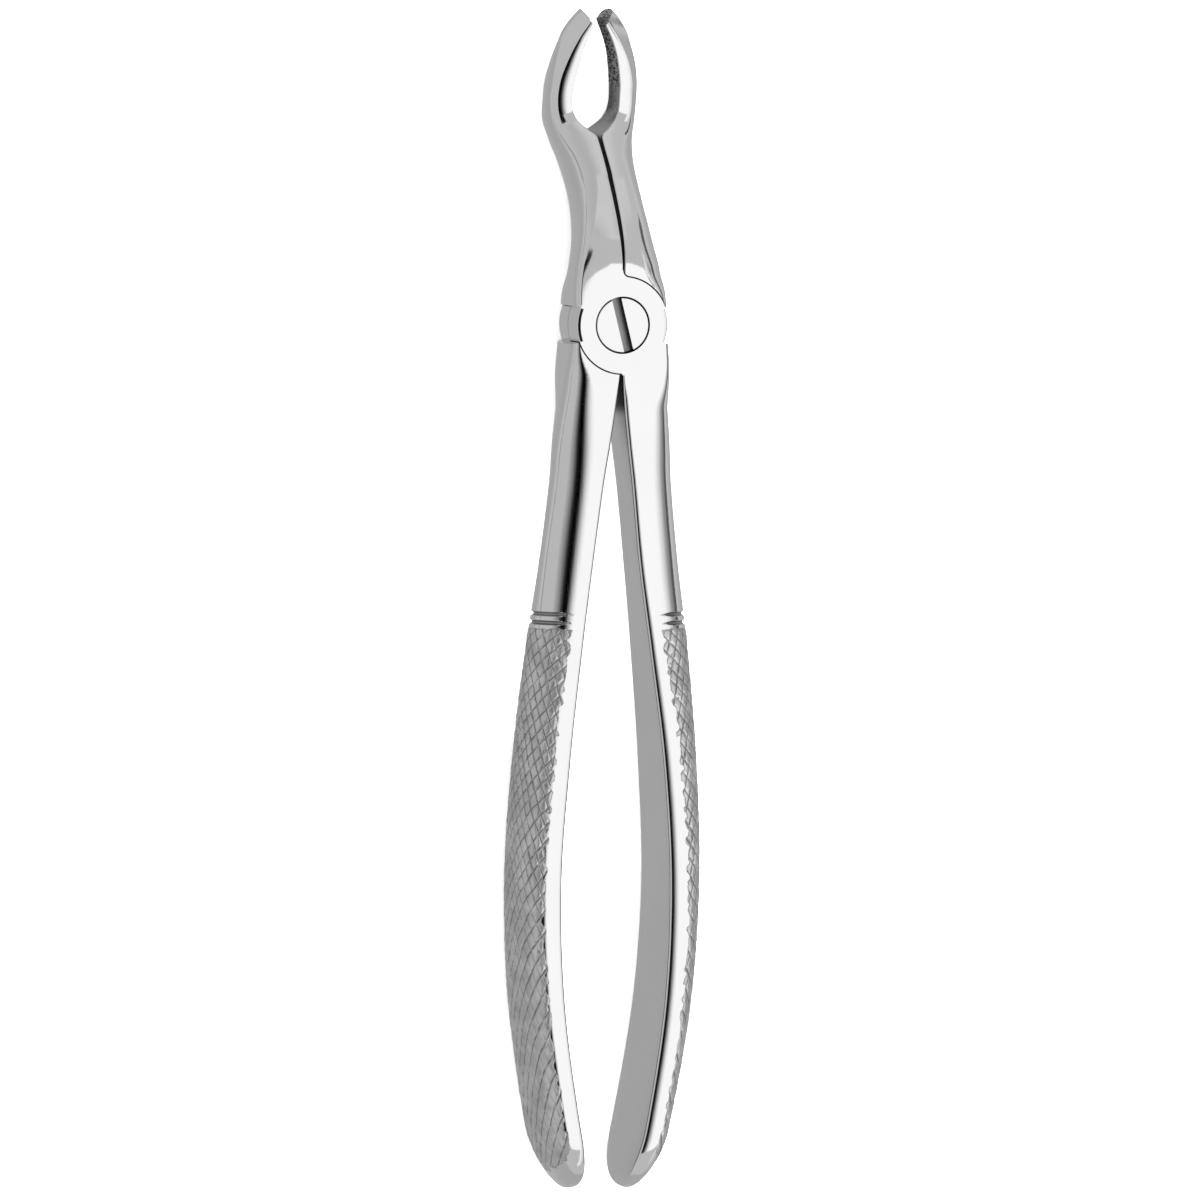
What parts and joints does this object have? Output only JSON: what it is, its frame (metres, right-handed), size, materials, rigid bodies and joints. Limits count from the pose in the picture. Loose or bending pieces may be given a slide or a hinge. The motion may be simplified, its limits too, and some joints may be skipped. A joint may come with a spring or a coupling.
{
  "type": "dental extraction forceps",
  "caption": "Extraction forceps with curved hollow beaks, offset necks, a lap joint on a slotted screw, and long bowed handles with knurled outer sides.",
  "frame": {"origin": "centre of the lap joint's back face, on the pivot axis", "axes": "+Y along the instrument towards the beak tips, +Z along the pivot axis towards the slotted screw head, +X to the right as seen from the front"},
  "size_m": [0.0298, 0.1773, 0.0255],
  "materials": {
    "polished_steel": "polished stainless steel, satin knurled outer sides on the handles",
    "screw_steel": "fine-ground stainless steel"
  },
  "bodies": {
    "back": {"back_half": "polished_steel", "pivot_screw": "screw_steel"},
    "front": {"front_half": "polished_steel"}
  },
  "joints": [
    {"name": "pivot", "type": "hinge", "parent": "back", "child": "front", "pos_m": [0, 0, 0.00435], "axis": [0, 0, 1], "range_deg": [-0.8, 40]}
  ]
}
